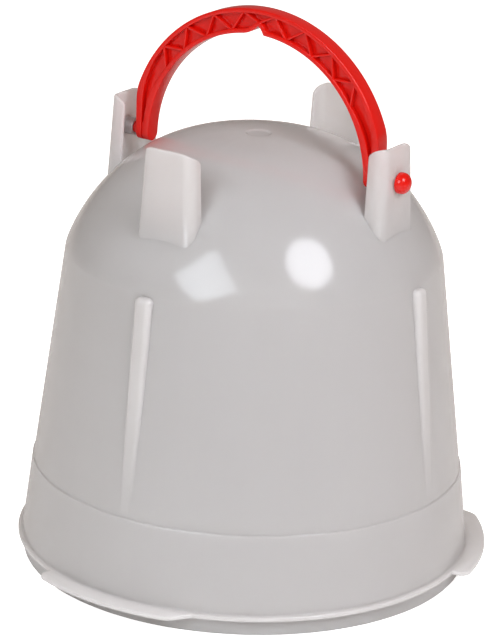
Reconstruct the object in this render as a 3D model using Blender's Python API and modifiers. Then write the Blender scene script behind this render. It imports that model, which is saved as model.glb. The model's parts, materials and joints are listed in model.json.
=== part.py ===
"""A hanging poultry drinker: a siphon bell with four ears, and a bail handle on two pins.

The bell is one moulding, open at the bottom and closed at the crown. The handle swings on two
push-in pins, which pass through two of the four ears. Metres, +Z up. The world origin is the
centre of the drinker's footprint, on the surface that the bell's lip stands on. The handle's
axis runs along X.
"""
import math

import bmesh
import bpy
from mathutils import Matrix, Vector

# Clearances, and how far a cutter passes a face or a joined shape sinks into one
SEAT_GAP = 0.0003
PIN_CLEARANCE = 0.0003
ARM_CLEARANCE = 0.0008
CUT_THROUGH = 0.002
SINK = 0.001

# Bell: lip, flange and skirt, from the lip's foot up
WALL = 0.0028
LIP_RADIUS = 0.170
LIP_WALL = 0.0020
LIP_EDGE = 0.0005
FLANGE_FOOT = 0.012
FLANGE_THICKNESS = 0.0035
FLANGE_EDGE = 0.0011
FLANGE_LAND = 0.00035
FLANGE_FILLET = 0.0022
SKIRT_SLOPE = 0.117
STEP_HEIGHT = 0.0745
STEP_DEPTH = 0.0010
STEP_RISE = 0.0006

# Bell: body and dome. The body's foot stands in from the lip's outer face by BODY_SETBACK
BODY_SETBACK = 0.0068
BODY_SLOPE = 0.1277
CREASE_HEIGHT = 0.240
CROWN_HEIGHT = 0.331
DOME_RISE_POWER = 1.23
DOME_ROUND_POWER = 2.8
DOME_STEPS = 15
BELL_STEPS = 72
GATE_RADIUS = 0.009
GATE_DEPTH = 0.0012
GATE_EDGE = 0.0006

# Bell: three lugs round the flange, at these angles from +X
LUG_ANGLES = [-90, 30, 150]
LUG_SPAN = 45.0
LUG_REACH = 0.0115
LUG_INSET = 0.00025
LUG_CORNER = 0.008
LUG_RUN_OUT = 0.026

# Bell: four ears, and a rib below each. An ear rises EAR_RISE over the pivot, and its face
# stands in from the lip's outer face by EAR_SETBACK
EAR_COUNT = 4
EAR_RISE = 0.0275
EAR_SETBACK = 0.049
EAR_WIDTH = 0.0424
EAR_DEPTH = 0.0132
EAR_SIDE_DRAFT = 3.0
EAR_FACE_DRAFT = 2.0
EAR_WALL = 0.003
EAR_EDGE = 0.006
EAR_CORNER = 0.008
RIB_WIDTH = 0.014
RIB_BELOW_CREASE = 0.001
RIB_PROUD = 0.0055
RIB_FADE = 0.0045
RIB_EDGE = 0.0015

# Handle. Its two edges are arcs whose centres lie under the pivot by their drops
ARM_CHEEK = 0.00195
ARM_TIP = 0.00145
ARM_DOME_GAP = 0.0015
ARCH_FLARE = 0.005
ARCH_DEPTH = 0.0165
ARCH_OUTER_DROP = 0.0022
ARCH_INNER_DROP = 0.0044
HANDLE_FLANGE = 0.0034
HANDLE_WEB = 0.003
HANDLE_EDGE = 0.0006
TRUSS_START = 34.0
TRUSS_COUNT = 8
TRUSS_RIB = 0.0018
TRUSS_INSET = 0.0008
GROOVE_WIDTH = 0.0018
GROOVE_FLOOR = 0.00075
GROOVE_START = 6.0
NOTCH_LEFT = 0.014
NOTCH_RIGHT = 0.005
NOTCH_DEPTH = 0.0063
NOTCH_LEFT_POWER = 2.2
NOTCH_RIGHT_POWER = 1.5

# Pivot pins, and what they pass through
PIN_RADIUS = 0.0045
PIN_HEAD_OVERHANG = 0.0035
PIN_HEAD_EDGE = 0.0025
PIN_HEAD_HEIGHT = 0.009
PIN_LEAD = 0.0008
PIN_STEPS = 24
HUB_WALL = 0.0017
BORE_FLOOR = 0.0025

# Meshes: points closer than this are one, and edges flatter than this go
SAME_POINT = 0.00001
FLAT_ANGLE = 0.2
SHARP_ANGLE = 35.0
SHARPEST_MITRE = 0.4

NATURAL_HDPE = (0.72, 0.73, 0.71, 1.0)
RED_POLYPROPYLENE = (0.58, 0.022, 0.018, 1.0)

# Sizes that follow from those above
FLANGE_TOP = FLANGE_FOOT + FLANGE_THICKNESS
BODY_FOOT_RADIUS = LIP_RADIUS - BODY_SETBACK
EAR_FACE_RADIUS = LIP_RADIUS - EAR_SETBACK
EAR_INNER_RADIUS = EAR_FACE_RADIUS - EAR_DEPTH
HUB_END_RADIUS = EAR_INNER_RADIUS + EAR_WALL
HOLE_RADIUS = PIN_RADIUS + PIN_CLEARANCE
HUB_RADIUS = HOLE_RADIUS + HUB_WALL
PIN_HEAD_RADIUS = PIN_RADIUS + PIN_HEAD_OVERHANG
RIB_TOP = CREASE_HEIGHT - RIB_BELOW_CREASE
RIB_FLUSH_HEIGHT = STEP_HEIGHT + RIB_FADE
ARM_OUTER_X = EAR_INNER_RADIUS - ARM_CLEARANCE
ARCH_OUTER_RADIUS = ARM_OUTER_X + ARCH_FLARE
ARCH_INNER_RADIUS = ARCH_OUTER_RADIUS - ARCH_DEPTH
BORE_DEPTH = ARCH_DEPTH - ARCH_FLARE - BORE_FLOOR
HANDLE_WIDTH = 2 * (HOLE_RADIUS + ARM_CHEEK)
GROOVE_DEPTH = ARM_CHEEK - GROOVE_FLOOR
ARM_END = HANDLE_WIDTH / 2 + ARM_TIP


def body_radius(height):
    """The bell's outer radius between the step and the crease."""
    return BODY_FOOT_RADIUS - BODY_SLOPE * (height - STEP_HEIGHT)


def skirt_radius(height):
    """The bell's outer radius between the flange and the step."""
    return BODY_FOOT_RADIUS + STEP_DEPTH + SKIRT_SLOPE * (STEP_HEIGHT - height)


def dome_height(radius):
    """The height of the dome's outer side at a radius."""
    inset = (radius / body_radius(CREASE_HEIGHT)) ** (DOME_ROUND_POWER / 2)
    rise = math.sqrt(1 - inset ** 2) ** (2 / DOME_RISE_POWER)
    return CREASE_HEIGHT + (CROWN_HEIGHT - CREASE_HEIGHT) * rise


FLANGE_RADIUS = skirt_radius(FLANGE_TOP + FLANGE_FILLET) + FLANGE_FILLET + FLANGE_LAND + FLANGE_EDGE
LUG_RADIUS = FLANGE_RADIUS + LUG_REACH
PIVOT_HEIGHT = round(dome_height(ARCH_INNER_RADIUS) + ARM_DOME_GAP + ARM_END, 4)
EAR_TOP = PIVOT_HEIGHT + EAR_RISE


def polar(radius, angle, centre_z=0.0):
    """A point of the XZ plane at a radius and an angle in degrees from +X."""
    turn = math.radians(angle)
    return (radius * math.cos(turn), centre_z + radius * math.sin(turn))


def spread(start, end, count):
    """Evenly spaced values from start to end, both included."""
    return [start + (end - start) * step / count for step in range(count + 1)]


def material(name, colour, roughness):
    """A Principled material."""
    made = bpy.data.materials.new(name)
    made.use_nodes = True
    shader = made.node_tree.nodes["Principled BSDF"]
    shader.inputs["Base Color"].default_value = colour
    shader.inputs["Roughness"].default_value = roughness
    shader.inputs["Metallic"].default_value = 0.0
    made.diffuse_color = colour
    return made


def collection(name):
    """A new collection in the scene."""
    made = bpy.data.collections.new(name)
    bpy.context.scene.collection.children.link(made)
    return made


def add_object(name, mesh, into):
    """An object for a mesh. In the cutters' collection it is hidden from renders."""
    made = bpy.data.objects.new(name, mesh)
    into.objects.link(made)
    if into.name == "cutters":
        made.hide_render = True
        made.display_type = "WIRE"
    return made


def put_under(child, parent, location=(0.0, 0.0, 0.0)):
    """Parent an object, with its location given in the parent's own frame."""
    child.parent = parent
    child.location = location


def turned(name, profile, steps, into):
    """A solid turned about Z from (radius, height) points, crown to foot."""
    mesh = bpy.data.meshes.new(name)
    verts = [(radius, 0.0, height) for radius, height in profile]
    edges = [(index, index + 1) for index in range(len(verts) - 1)]
    mesh.from_pydata(verts, edges, [])
    made = add_object(name, mesh, into)
    screw = made.modifiers.new("turn", "SCREW")
    screw.axis = "Z"
    screw.steps = steps
    screw.render_steps = steps
    screw.use_merge_vertices = True
    screw.merge_threshold = SAME_POINT
    screw.use_smooth_shade = True
    return made


def evaluated_mesh(source, name):
    """The mesh that an object shows, with loose caps joined and flat faces made whole."""
    bpy.context.view_layer.update()
    graph = bpy.context.evaluated_depsgraph_get()
    mesh = bpy.data.meshes.new_from_object(source.evaluated_get(graph))
    mesh.name = name
    shape = bmesh.new()
    shape.from_mesh(mesh)
    bmesh.ops.remove_doubles(shape, verts=shape.verts, dist=SAME_POINT)
    bmesh.ops.dissolve_limit(shape, angle_limit=math.radians(FLAT_ANGLE), verts=shape.verts,
                             edges=shape.edges)
    shape.to_mesh(mesh)
    shape.free()
    return mesh


def flat_shape(name, outline, thickness, into, upright=False):
    """A flat outline with a thickness, in the XY plane, or in the XZ plane when upright."""
    curve = bpy.data.curves.new(name, "CURVE")
    curve.dimensions = "2D"
    curve.fill_mode = "BOTH"
    curve.extrude = thickness / 2
    spline = curve.splines.new("POLY")
    spline.points.add(len(outline) - 1)
    for point, (across, along) in zip(spline.points, outline):
        point.co = (across, along, 0.0, 1.0)
    spline.use_cyclic_u = True
    drawn = bpy.data.objects.new(name, curve)
    into.objects.link(drawn)
    mesh = evaluated_mesh(drawn, name)
    if upright:
        mesh.transform(Matrix.Rotation(math.radians(90), 4, "X"))
    bpy.data.objects.remove(drawn)
    return add_object(name, mesh, into)


def tapered_block(name, foot, top, into):
    """A block between two levels, each (inner x, outer x, half width, height)."""
    shape = bmesh.new()
    bmesh.ops.create_cube(shape, size=2.0)
    for vert in shape.verts:
        inner, outer, half, height = top if vert.co.z > 0 else foot
        vert.co = (outer if vert.co.x > 0 else inner, half if vert.co.y > 0 else -half, height)
    mesh = bpy.data.meshes.new(name)
    shape.to_mesh(mesh)
    shape.free()
    return add_object(name, mesh, into)


def rod_along_x(name, radius, start, end, into, segments=24):
    """A plain round rod on the X axis."""
    place = Matrix.Translation(((start + end) / 2, 0.0, 0.0)) @ Matrix.Rotation(math.radians(90), 4, "Y")
    shape = bmesh.new()
    bmesh.ops.create_cone(shape, cap_ends=True, segments=segments, radius1=radius, radius2=radius,
                          depth=abs(end - start), matrix=place)
    mesh = bpy.data.meshes.new(name)
    shape.to_mesh(mesh)
    shape.free()
    return add_object(name, mesh, into)


def round_edges(target, chosen, width, segments):
    """Round the edges of a mesh for which chosen(edge) is true."""
    shape = bmesh.new()
    shape.from_mesh(target.data)
    picked = [edge for edge in shape.edges if chosen(edge)]
    bmesh.ops.bevel(shape, geom=picked, offset=width, offset_type="OFFSET", segments=segments,
                    profile=0.5, affect="EDGES", clamp_overlap=True)
    shape.to_mesh(target.data)
    shape.free()


def combine(target, tool, operation):
    """Add a Boolean of another object to an object."""
    step = target.modifiers.new(operation.lower() + " " + tool.name, "BOOLEAN")
    step.operation = operation
    step.solver = "EXACT"
    step.object = tool


def shade(target, angle):
    """Smooth shading, with edges sharper than an angle in degrees left sharp."""
    target.data.shade_smooth()
    target.data.set_sharp_from_angle(angle=math.radians(angle))


# The bell

def dome_point(turn):
    """A point of the dome's outer curve: 0 degrees at the crease, 90 at the crown."""
    angle = math.radians(turn)
    rise = max(math.sin(angle), 0.0) ** (2 / DOME_RISE_POWER)
    inset = max(math.cos(angle), 0.0) ** (2 / DOME_ROUND_POWER)
    return (body_radius(CREASE_HEIGHT) * inset, CREASE_HEIGHT + (CROWN_HEIGHT - CREASE_HEIGHT) * rise)


def skin_line():
    """The bell's outer line from the crown to the skirt's foot, without the gate and flange."""
    dome = [dome_point(turn) for turn in spread(90.0, 0.0, DOME_STEPS)]
    dome[0] = (0.0, CROWN_HEIGHT)
    return dome + [
        (body_radius(STEP_HEIGHT + STEP_RISE), STEP_HEIGHT + STEP_RISE),
        (skirt_radius(STEP_HEIGHT), STEP_HEIGHT),
        (skirt_radius(FLANGE_TOP + FLANGE_FILLET), FLANGE_TOP + FLANGE_FILLET),
    ]


def offset_inward(line, distance):
    """Move a line of (radius, height) points to its inner side, keeping corners sharp."""
    moved = []
    for index, point in enumerate(line):
        before = Vector(line[max(index - 1, 0)])
        after = Vector(line[min(index + 1, len(line) - 1)])
        here = Vector(point)
        runs = [run.normalized() for run in (here - before, after - here) if run.length > 0]
        normals = [Vector((run.y, -run.x)) for run in runs]
        middle = sum(normals, Vector((0.0, 0.0))).normalized()
        moved.append(here + middle * distance / max(middle.dot(normals[0]), SHARPEST_MITRE))
    return [(point.x, point.y) for point in moved]


def outer_profile():
    """The bell's whole outer side, from the gate's recess down to the lip, closed on the axis."""
    gate_floor = CROWN_HEIGHT - GATE_DEPTH
    skin = [point for point in skin_line() if point[0] > GATE_RADIUS]
    gate = [(0.0, gate_floor), (GATE_RADIUS - GATE_EDGE, gate_floor), (GATE_RADIUS, CROWN_HEIGHT)]
    foot_radius = skin[-1][0] + FLANGE_FILLET
    fillet = [polar(FLANGE_FILLET, angle, FLANGE_TOP + FLANGE_FILLET) for angle in (210, 240, 270)]
    fillet = [(foot_radius + across, height) for across, height in fillet]
    edge_radius = FLANGE_RADIUS - FLANGE_EDGE
    edge_top = [polar(FLANGE_EDGE, angle, FLANGE_TOP - FLANGE_EDGE) for angle in (90, 45, 0)]
    edge_foot = [polar(FLANGE_EDGE, angle, FLANGE_FOOT + FLANGE_EDGE) for angle in (0, -45, -90)]
    edge = [(edge_radius + across, height) for across, height in edge_top + edge_foot]
    lip = [
        (LIP_RADIUS, FLANGE_FOOT),
        (LIP_RADIUS, LIP_EDGE),
        (LIP_RADIUS - LIP_EDGE, 0.0),
        (0.0, 0.0),
    ]
    return gate + skin + fillet + edge + lip


def inner_profile():
    """The hollow inside the bell, closed on the axis just below the mouth."""
    line = offset_inward(skin_line(), WALL)
    line[0] = (0.0, CROWN_HEIGHT - GATE_DEPTH - WALL)
    line[1] = (line[1][0], min(line[1][1], line[0][1]))
    mouth = LIP_RADIUS - LIP_WALL
    line[-1] = (min(line[-1][0], mouth), line[-1][1])
    return line + [(mouth, FLANGE_FOOT), (mouth, -CUT_THROUGH), (0.0, -CUT_THROUGH)]


def lug_outline(centre):
    """One lug's plan: a steep rounded end clockwise, and an end that runs out gently."""
    rise = LUG_RADIUS - FLANGE_RADIUS
    start = centre - LUG_SPAN / 2
    length = LUG_RADIUS * math.radians(LUG_SPAN)
    corner = [LUG_CORNER * (1 - math.cos(math.radians(turn))) for turn in spread(0, 90, 5)]
    run_out = spread(length - LUG_RUN_OUT, length, 10)
    plain = spread(LUG_CORNER, length - LUG_RUN_OUT, 10)[1:-1]
    outline = []
    for along in corner + plain + run_out:
        height = rise
        if along < LUG_CORNER:
            height = rise - LUG_CORNER + math.sqrt(LUG_CORNER ** 2 - (LUG_CORNER - along) ** 2)
        elif along > length - LUG_RUN_OUT:
            share = 1 - (length - along) / LUG_RUN_OUT
            height = (rise + SINK) * (1 + math.cos(math.pi * share)) / 2 - SINK
        outline.append(polar(FLANGE_RADIUS + height, start + LUG_SPAN * along / length))
    inside = [polar(LIP_RADIUS, angle) for angle in spread(start + LUG_SPAN, start, 9)]
    return outline + inside


def footprint_centre():
    """The middle of the box round the flange and its lugs, from the bell's axis."""
    corners = [(FLANGE_RADIUS, 0.0), (-FLANGE_RADIUS, 0.0), (0.0, FLANGE_RADIUS), (0.0, -FLANGE_RADIUS)]
    for centre in LUG_ANGLES:
        corners += lug_outline(centre)
    across = [corner[0] for corner in corners]
    along = [corner[1] for corner in corners]
    return Vector(((min(across) + max(across)) / 2, (min(along) + max(along)) / 2, 0.0))


def ear_level(height, inset=0.0):
    """The ear's outer face and half width at a height, after an inset."""
    drop = EAR_TOP - height
    outer = EAR_FACE_RADIUS + drop * math.tan(math.radians(EAR_FACE_DRAFT)) - inset
    half = EAR_WIDTH / 2 + drop * math.tan(math.radians(EAR_SIDE_DRAFT)) - inset
    return outer, half


def ear_block(name, foot, top, inner, inset, into):
    """A block with the ear's drafted face and sides."""
    foot_outer, foot_half = ear_level(foot, inset)
    top_outer, top_half = ear_level(top, inset)
    return tapered_block(name, (inner, foot_outer, foot_half, foot), (inner, top_outer, top_half, top), into)


def ear_mesh(cutters):
    """One ear, on +X: a channel open at the top and to the axis, with rounded corners."""
    def is_outer_upright(edge):
        one, two = edge.verts[0].co, edge.verts[1].co
        return min(one.x, two.x) > EAR_INNER_RADIUS and abs(one.z - two.z) > CUT_THROUGH

    def is_top_corner(edge):
        one, two = edge.verts[0].co, edge.verts[1].co
        level = min(one.z, two.z) > CREASE_HEIGHT
        at_side = abs(one.y - two.y) < CUT_THROUGH
        return level and (at_side or max(one.x, two.x) < EAR_INNER_RADIUS)

    ear = ear_block("ear", CREASE_HEIGHT, EAR_TOP + SINK, EAR_INNER_RADIUS, 0.0, cutters)
    round_edges(ear, is_outer_upright, EAR_EDGE, 4)
    hollow = ear_block("ear_hollow", CREASE_HEIGHT - CUT_THROUGH, EAR_TOP + CUT_THROUGH,
                       EAR_INNER_RADIUS - CUT_THROUGH, EAR_WALL, cutters)
    round_edges(hollow, is_outer_upright, EAR_EDGE - EAR_WALL, 3)
    trim = ear_block("ear_trim", CREASE_HEIGHT - CUT_THROUGH, EAR_TOP, EAR_INNER_RADIUS - SINK, -SINK,
                     cutters)
    round_edges(trim, is_top_corner, EAR_CORNER, 5)
    combine(ear, hollow, "DIFFERENCE")
    combine(ear, trim, "INTERSECT")
    mesh = evaluated_mesh(ear, "ear")
    for helper in (ear, hollow, trim):
        bpy.data.objects.remove(helper)
    return mesh


def rib_mesh(cutters):
    """One rib, on +X: proud at its top ledge, and flush with the body near the step."""
    def is_outer(edge):
        one, two = edge.verts[0].co, edge.verts[1].co
        return min(one.x, two.x) > inner and max(one.z, two.z) > foot + SINK

    top_radius = body_radius(RIB_TOP) + RIB_PROUD
    slope = (body_radius(RIB_FLUSH_HEIGHT) - top_radius) / (RIB_TOP - RIB_FLUSH_HEIGHT)
    foot = STEP_HEIGHT - SINK
    foot_radius = body_radius(RIB_FLUSH_HEIGHT) + slope * (RIB_FLUSH_HEIGHT - foot)
    inner = body_radius(RIB_TOP) - 2 * WALL
    half = RIB_WIDTH / 2
    rib = tapered_block("rib", (inner, foot_radius, half, foot), (inner, top_radius, half, RIB_TOP), cutters)
    round_edges(rib, is_outer, RIB_EDGE, 2)
    mesh = rib.data
    bpy.data.objects.remove(rib)
    return mesh


def build_bell(parts, cutters, axis):
    """The bell: turned, with its lugs, ribs, ears and hubs joined on, then hollowed and bored."""
    bell = turned("bell", outer_profile(), BELL_STEPS, parts)
    put_under(bell, axis)
    for number, centre in enumerate(LUG_ANGLES):
        thickness = FLANGE_THICKNESS - 2 * LUG_INSET
        lug = flat_shape("lug_%d" % number, lug_outline(centre), thickness, cutters)
        put_under(lug, axis, (0.0, 0.0, (FLANGE_FOOT + FLANGE_TOP) / 2))
        combine(bell, lug, "UNION")
    ear_shape = ear_mesh(cutters)
    rib_shape = rib_mesh(cutters)
    for name, mesh in (("ear", ear_shape), ("rib", rib_shape)):
        for number in range(EAR_COUNT):
            joined = add_object("%s_%d" % (name, number), mesh, cutters)
            put_under(joined, axis)
            joined.rotation_euler.z = math.tau * number / EAR_COUNT
            combine(bell, joined, "UNION")
    for side, name in ((1, "right"), (-1, "left")):
        outer = ear_level(PIVOT_HEIGHT)[0]
        hub = rod_along_x("hub_" + name, HUB_RADIUS, side * HUB_END_RADIUS, side * (outer - SINK), cutters)
        hole = rod_along_x("hole_" + name, HOLE_RADIUS, side * (HUB_END_RADIUS - CUT_THROUGH),
                           side * (outer + CUT_THROUGH), cutters)
        for tool, operation in ((hub, "UNION"), (hole, "DIFFERENCE")):
            put_under(tool, axis, (0.0, 0.0, PIVOT_HEIGHT))
            combine(bell, tool, operation)
    hollow = turned("bell_hollow", inner_profile(), BELL_STEPS, cutters)
    put_under(hollow, axis)
    combine(bell, hollow, "DIFFERENCE")
    bell.data.materials.append(material("natural HDPE", NATURAL_HDPE, 0.35))
    return bell


# The handle, drawn in the XZ plane round the pivot

def arch_point(angle, margin=0.0):
    """A point of the arch's outer edge, seen from the inner edge's centre, less a margin."""
    centre_rise = ARCH_INNER_DROP - ARCH_OUTER_DROP
    turn = math.radians(angle)
    reach = ARCH_OUTER_RADIUS - margin
    sideways = centre_rise * math.cos(turn)
    radius = centre_rise * math.sin(turn) + math.sqrt(reach ** 2 - sideways ** 2)
    across, height = polar(radius, angle, -ARCH_INNER_DROP)
    limit = ARM_OUTER_X - margin
    return (max(-limit, min(limit, across)), height)


def notch_rise(across):
    """How far the hanging notch lifts the arch's inner edge."""
    if -NOTCH_LEFT < across <= 0:
        return NOTCH_DEPTH * ((across + NOTCH_LEFT) / NOTCH_LEFT) ** NOTCH_LEFT_POWER
    if 0 < across < NOTCH_RIGHT:
        return NOTCH_DEPTH * (1 - (across / NOTCH_RIGHT) ** NOTCH_RIGHT_POWER)
    return 0.0


def inner_edge():
    """The arch's inner edge from right to left, with the notch at its top."""
    notch_half_angle = math.degrees(math.asin(NOTCH_LEFT / ARCH_INNER_RADIUS))
    right_angle = math.degrees(math.asin(NOTCH_RIGHT / ARCH_INNER_RADIUS))
    arm_angle = math.degrees(math.asin((ARCH_INNER_DROP - ARM_END + HANDLE_WIDTH / 2) / ARCH_INNER_RADIUS))
    angles = spread(arm_angle, 90.0 - right_angle, 20)
    angles += spread(90.0 - right_angle, 90.0, 5)[1:-1] + spread(90.0, 90.0 + notch_half_angle, 7)
    angles += spread(90.0 + notch_half_angle, 180.0 - arm_angle, 19)[1:]
    edge = []
    for angle in angles:
        across, height = polar(ARCH_INNER_RADIUS, angle, -ARCH_INNER_DROP)
        edge.append((across, height + notch_rise(across)))
    return edge


def handle_outline():
    """The whole handle seen along its width."""
    corner = math.degrees(math.acos(ARM_OUTER_X / ARCH_OUTER_RADIUS))
    arch = [arch_point(angle) for angle in spread(corner, 180.0 - corner, 34)]
    inner = inner_edge()
    arm_inner = inner[0][0]
    left = [(-ARM_OUTER_X, -ARM_END), (-arm_inner, -ARM_END)]
    right = [(arm_inner, -ARM_END), (ARM_OUTER_X, -ARM_END)]
    return arch + left + inner[::-1] + right


def thickened_radius(angle, edge, thickness):
    """How far from the inner edge's centre a band of a thickness on that edge reaches."""
    ray = Vector(polar(1.0, angle))
    reach = 0.0
    for across, height in edge:
        spot = Vector((across, height + ARCH_INNER_DROP))
        along = spot.dot(ray)
        aside = (spot - ray * along).length
        if along > 0 and aside < thickness:
            reach = max(reach, along + math.sqrt(thickness ** 2 - aside ** 2))
    return reach


def pocket_sides(angle, edge):
    """The pocket's inner and outer points at an angle: full in the arch, narrowing down the arms."""
    outer = Vector(arch_point(angle, HANDLE_FLANGE))
    band = max(thickened_radius(angle, edge, HANDLE_FLANGE), ARCH_INNER_RADIUS + HANDLE_FLANGE)
    inner = Vector(polar(band, angle, -ARCH_INNER_DROP))
    from_end = min(angle, 180.0 - angle) - GROOVE_START
    share = min(1.0, from_end / (TRUSS_START - GROOVE_START))
    full = (outer - inner).length
    width = GROOVE_WIDTH + (full - GROOVE_WIDTH) * share
    middle = (outer + inner) / 2
    along = (outer - inner).normalized() * width / 2
    return tuple(middle - along), tuple(middle + along)


def fine_edge():
    """The inner edge with short steps, for measuring the band on it."""
    edge = inner_edge()
    fine = []
    for (start_x, start_z), (end_x, end_z) in zip(edge, edge[1:]):
        for share in spread(0.0, 1.0, 6)[:-1]:
            fine.append((start_x + (end_x - start_x) * share, start_z + (end_z - start_z) * share))
    return fine + [edge[-1]]


def pocket_outline():
    """The recess that leaves the handle's two flanges and its web."""
    edge = fine_edge()
    plain = TRUSS_START
    angles = spread(GROOVE_START, plain, 6) + spread(plain, 80.0, 10)[1:] + spread(80.0, 100.0, 12)[1:]
    angles += spread(100.0, 180.0 - plain, 10)[1:] + spread(180.0 - plain, 180.0 - GROOVE_START, 6)[1:]
    sides = [pocket_sides(angle, edge) for angle in angles]
    return [outer for inner, outer in sides] + [inner for inner, outer in reversed(sides)]


def truss_outline():
    """The zigzag rib between the flanges, as one ribbon."""
    edge = fine_edge()
    line = []
    for step, angle in enumerate(spread(TRUSS_START, 180.0 - TRUSS_START, 2 * TRUSS_COUNT)):
        inner, outer = pocket_sides(angle, edge)
        inward = (Vector(inner) - Vector(outer)).normalized() * SINK
        line.append(Vector(inner) + inward if step % 2 == 0 else Vector(outer) - inward)
    ahead, behind = [], []
    for index, here in enumerate(line):
        runs = []
        if index > 0:
            runs.append((here - line[index - 1]).normalized())
        if index < len(line) - 1:
            runs.append((line[index + 1] - here).normalized())
        normals = [Vector((-run.y, run.x)) for run in runs]
        middle = sum(normals, Vector((0.0, 0.0))).normalized()
        offset = middle * TRUSS_RIB / 2 / max(middle.dot(normals[0]), SHARPEST_MITRE)
        ahead.append(tuple(here + offset))
        behind.append(tuple(here - offset))
    return ahead + behind[::-1]


def build_handle(parts, cutters, pivot):
    """The handle: an I-section arch with a zigzag rib, and arms bored for the pins."""
    def is_arm_end(edge):
        one, two = edge.verts[0].co, edge.verts[1].co
        return max(one.z, two.z) < -ARM_END + SINK and abs(one.y - two.y) < SINK

    def is_outer_edge(edge):
        return edge.calc_face_angle() > math.radians(SHARP_ANGLE) and (
            abs(edge.verts[0].co.y + edge.verts[1].co.y) > HANDLE_WEB
            or max(edge.verts[0].co.z, edge.verts[1].co.z) < -ARM_END + SINK)

    handle = flat_shape("handle", handle_outline(), HANDLE_WIDTH, parts, upright=True)
    put_under(handle, pivot)
    round_edges(handle, is_arm_end, HANDLE_WIDTH / 2 - SINK / 10, 6)
    round_edges(handle, is_outer_edge, HANDLE_EDGE, 2)
    pocket_depth = (HANDLE_WIDTH - HANDLE_WEB) / 2
    arm_middle = (ARCH_INNER_RADIUS + ARM_OUTER_X) / 2
    groove_top = polar(ARCH_INNER_RADIUS, GROOVE_START)[1]
    for side, name in ((-1, "front"), (1, "back")):
        cut_depth = pocket_depth + CUT_THROUGH
        pocket = flat_shape("pocket_" + name, pocket_outline(), cut_depth, cutters, upright=True)
        put_under(pocket, pivot, (0.0, side * (HANDLE_WEB + cut_depth) / 2, 0.0))
        combine(handle, pocket, "DIFFERENCE")
        for arm in (-1, 1):
            groove = tapered_block(
                "groove_%s_%d" % (name, arm),
                (-GROOVE_WIDTH / 2, GROOVE_WIDTH / 2, GROOVE_DEPTH, -ARM_END - CUT_THROUGH),
                (-GROOVE_WIDTH / 2, GROOVE_WIDTH / 2, GROOVE_DEPTH, groove_top), cutters)
            put_under(groove, pivot, (arm * arm_middle, side * HANDLE_WIDTH / 2, 0.0))
            combine(handle, groove, "DIFFERENCE")
    truss = flat_shape("truss", truss_outline(), HANDLE_WIDTH - 2 * TRUSS_INSET, cutters, upright=True)
    put_under(truss, pivot)
    combine(handle, truss, "UNION")
    for side, name in ((1, "right"), (-1, "left")):
        bore = rod_along_x("bore_" + name, HOLE_RADIUS, side * (ARM_OUTER_X - BORE_DEPTH),
                           side * (ARM_OUTER_X + CUT_THROUGH), cutters)
        put_under(bore, pivot)
        combine(handle, bore, "DIFFERENCE")
    handle.data.materials.append(material("red polypropylene", RED_POLYPROPYLENE, 0.28))
    return handle


# The pins, turned round Z with the head up, then laid along X

def pin_profile():
    """The pin's domed head and its plain shank, from the head's crown to the shank's end."""
    seat = ear_level(PIVOT_HEIGHT - PIN_HEAD_RADIUS)[0] + SEAT_GAP
    end = seat - (ARM_OUTER_X - BORE_DEPTH + SEAT_GAP)
    dome_height = PIN_HEAD_HEIGHT - PIN_HEAD_EDGE
    dome = []
    for turn in spread(90.0, 0.0, 7):
        across, height = polar(1.0, turn)
        dome.append((PIN_HEAD_RADIUS * across, PIN_HEAD_EDGE + dome_height * height))
    dome[0] = (0.0, PIN_HEAD_HEIGHT)
    shank = [
        (PIN_HEAD_RADIUS, 0.0),
        (PIN_RADIUS, 0.0),
        (PIN_RADIUS, PIN_LEAD - end),
        (PIN_RADIUS - PIN_LEAD, -end),
        (0.0, -end),
    ]
    return seat, dome + shank


def build_pin(name, side, parts, pivot, finish):
    """One pivot pin, its head outside the ear on the given side of X."""
    seat, profile = pin_profile()
    pin = turned(name, profile, PIN_STEPS, parts)
    put_under(pin, pivot, (side * seat, 0.0, 0.0))
    pin.rotation_euler.y = side * math.radians(90)
    pin.data.materials.append(finish)
    return pin


def main():
    """Clear the scene and build the drinker."""
    for old in list(bpy.data.objects):
        bpy.data.objects.remove(old)
    parts = collection("poultry_drinker")
    cutters = collection("cutters")
    axis = add_object("bell_axis", None, parts)
    axis.location = -footprint_centre()
    pivot = add_object("handle_axis", None, parts)
    put_under(pivot, axis, (0.0, 0.0, PIVOT_HEIGHT))
    build_bell(parts, cutters, axis)
    handle = build_handle(parts, cutters, pivot)
    shade(handle, SHARP_ANGLE)
    finish = material("red pin polypropylene", RED_POLYPROPYLENE, 0.25)
    build_pin("pivot_pin_right", 1, parts, pivot, finish)
    build_pin("pivot_pin_left", -1, parts, pivot, finish)
    bpy.context.view_layer.update()
    print("bell axis at", [round(value, 6) for value in axis.matrix_world.translation])
    print("handle axis at", [round(value, 6) for value in pivot.matrix_world.translation])


main()
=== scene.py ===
"""The looks of a poultry drinker: a milky siphon bell with four ears, and a red bail handle.

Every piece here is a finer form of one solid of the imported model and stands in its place. Lengths
are metres unless a name says mm, +Z is up, and angles are degrees.
"""
import json
import logging
import math
from dataclasses import dataclass, field
from enum import Enum
from functools import cached_property
from typing import Callable, Iterable

import bmesh
import bpy
import numpy as np
from bpy.types import Material, Mesh, Node, NodeSocket, NodeTree, Object
from mathutils import Matrix, Vector


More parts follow.
